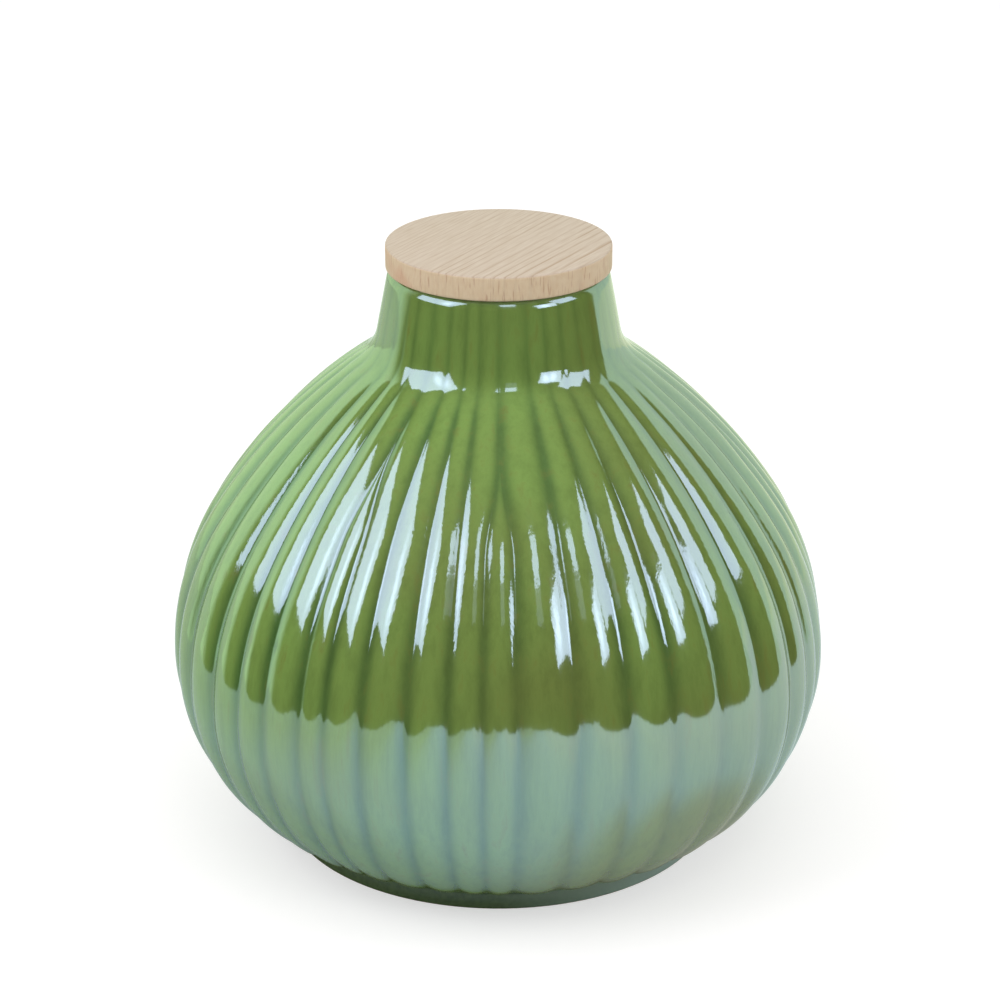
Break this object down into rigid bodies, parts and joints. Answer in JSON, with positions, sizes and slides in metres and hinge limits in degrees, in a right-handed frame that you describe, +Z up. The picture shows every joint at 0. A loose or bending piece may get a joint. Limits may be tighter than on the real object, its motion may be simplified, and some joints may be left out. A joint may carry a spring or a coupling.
{
  "type": "ginger jar",
  "caption": "Squat ribbed ceramic storage jar with a swelling belly, a short tapered neck and a flat lift-off wooden lid sealed by a silicone ring.",
  "frame": {"origin": "centre of the foot ring's underside, on the jar's axis", "axes": "+Z up along the jar's axis, -Y towards the side that the picture shows, +X to that view's right"},
  "size_m": [0.1602, 0.1604, 0.1498],
  "materials": {
    "glaze": "gloss",
    "beech": "satin",
    "silicone": "matte"
  },
  "bodies": {
    "jar": {"jar": "glaze"},
    "seal": {"seal_ring": "silicone"},
    "lid": {"lid": "beech"}
  },
  "joints": [
    {"name": "lid_lift", "type": "slide", "parent": "jar", "child": "seal", "axis": [0, 0, 1], "range_m": [0, 0.08]},
    {"name": "lid_turn", "type": "hinge", "parent": "seal", "child": "lid", "pos_m": [0, 0, 0.1439], "axis": [0, 0, 1], "continuous": true}
  ]
}
